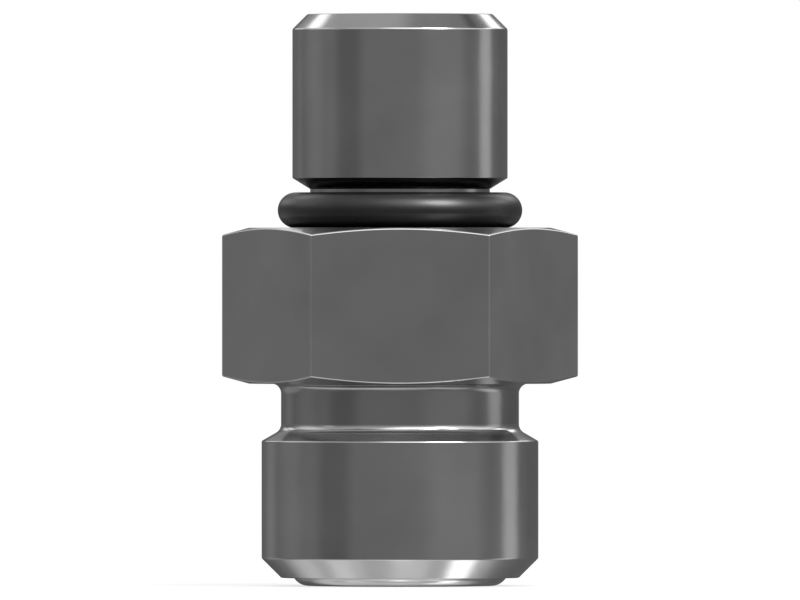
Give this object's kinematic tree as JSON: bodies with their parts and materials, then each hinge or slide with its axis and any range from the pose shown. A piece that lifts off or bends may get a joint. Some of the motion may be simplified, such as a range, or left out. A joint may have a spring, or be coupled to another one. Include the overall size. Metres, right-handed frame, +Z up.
{
  "type": "hydraulic adapter fitting",
  "caption": "Straight steel hydraulic adapter: a male port stud with an O-ring, a wrench hexagon, and a male tube end with an O-ring in its sealing face.",
  "frame": {"origin": "on the axis, at the crown of the face-seal O-ring, which is the lowest point of the adapter", "axes": "+Z up along the axis, towards the tip of the port stud; X through two corners of the hexagon, so that two of its flats face +Y and -Y"},
  "size_m": [0.0184, 0.0158, 0.0294],
  "materials": {
    "steel": "fine-turned steel with a dull grey plated surface",
    "black_rubber": "moulded nitrile rubber with a soft sheen from its oil film",
    "grey_rubber": "smooth grey seal with a sheen like the plating's"
  },
  "bodies": {
    "root": {"adapter_body": "steel", "boss_o_ring": "black_rubber", "face_seal_o_ring": "grey_rubber"}
  },
  "joints": []
}
